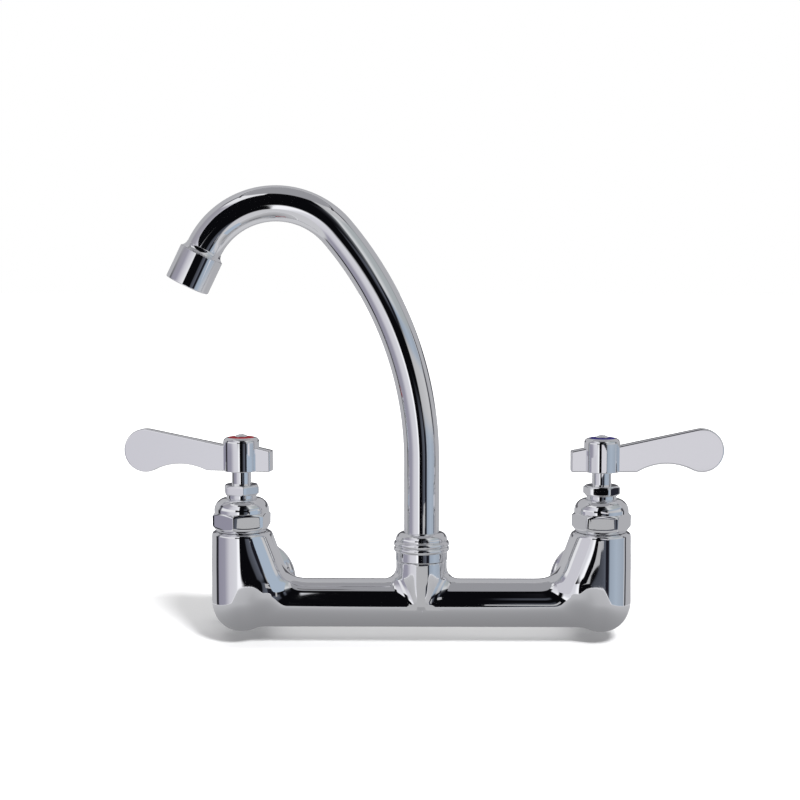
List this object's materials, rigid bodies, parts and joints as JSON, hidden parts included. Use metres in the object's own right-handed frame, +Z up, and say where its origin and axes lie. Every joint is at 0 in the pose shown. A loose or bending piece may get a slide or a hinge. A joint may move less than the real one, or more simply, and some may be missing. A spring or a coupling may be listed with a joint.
{
  "type": "wall faucet",
  "caption": "Chrome two-handle wall faucet: straight bridge body on wall unions, quarter-turn lever valves and a tall swivelling gooseneck spout with an aerator",
  "frame": {"origin": "midway between the two inlets' mouths, on the wall plane", "axes": "+X right, towards the cold side; +Y into the wall; +Z up"},
  "size_m": [0.3395, 0.0821, 0.2594],
  "materials": {
    "chrome": "polished chrome plate on cast and turned brass",
    "brass": "bare machined brass, not seen from outside",
    "rubber": "black moulded rubber seals",
    "white_plastic": "low-friction washer, packing rings and moulded flow insert",
    "steel": "fine stainless screen",
    "ceramic": null,
    "hot_red": "dark red index ring, gloss",
    "cold_blue": "dark blue index ring, gloss"
  },
  "bodies": {
    "fixed": {"body_casting": "chrome", "thrust_washer": "white_plastic", "spout_nut": "chrome", "hot_wall_flange": "chrome", "hot_inlet_shank": "brass", "hot_inlet_gasket": "rubber", "hot_union_nut": "chrome", "hot_cartridge": "chrome", "hot_seat_seal": "rubber", "hot_fixed_disc": "ceramic", "hot_bonnet": "chrome", "hot_packing_ring": "white_plastic", "hot_packing_nut": "chrome", "cold_wall_flange": "chrome", "cold_inlet_shank": "brass", "cold_inlet_gasket": "rubber", "cold_union_nut": "chrome", "cold_cartridge": "chrome", "cold_seat_seal": "rubber", "cold_fixed_disc": "ceramic", "cold_bonnet": "chrome", "cold_packing_ring": "white_plastic", "cold_packing_nut": "chrome"},
    "spout": {"spout_tube": "chrome", "spout_ferrule": "brass", "spout_o_rings": "rubber", "outlet_adaptor": "chrome", "aerator_shell": "chrome", "aerator_gasket": "rubber", "aerator_insert": "white_plastic", "aerator_screen": "steel"},
    "hot_lever": {"hot_handle": "chrome", "hot_stem": "chrome", "hot_moving_disc": "ceramic", "hot_stem_o_ring": "rubber", "hot_index_ring": "hot_red", "hot_handle_screw": "chrome"},
    "cold_lever": {"cold_handle": "chrome", "cold_stem": "chrome", "cold_moving_disc": "ceramic", "cold_stem_o_ring": "rubber", "cold_index_ring": "cold_blue", "cold_handle_screw": "chrome"}
  },
  "joints": [
    {"name": "hot_valve", "type": "hinge", "parent": "fixed", "child": "hot_lever", "pos_m": [-0.1016, -0.065, 0.08], "axis": [0, 0, 1], "range_deg": [0, 90]},
    {"name": "cold_valve", "type": "hinge", "parent": "fixed", "child": "cold_lever", "pos_m": [0.1016, -0.065, 0.08], "axis": [0, 0, 1], "range_deg": [-90, 0]},
    {"name": "spout_swivel", "type": "hinge", "parent": "fixed", "child": "spout", "pos_m": [0, -0.065, 0.036], "axis": [0, 0, 1], "range_deg": [-15, 195]}
  ]
}
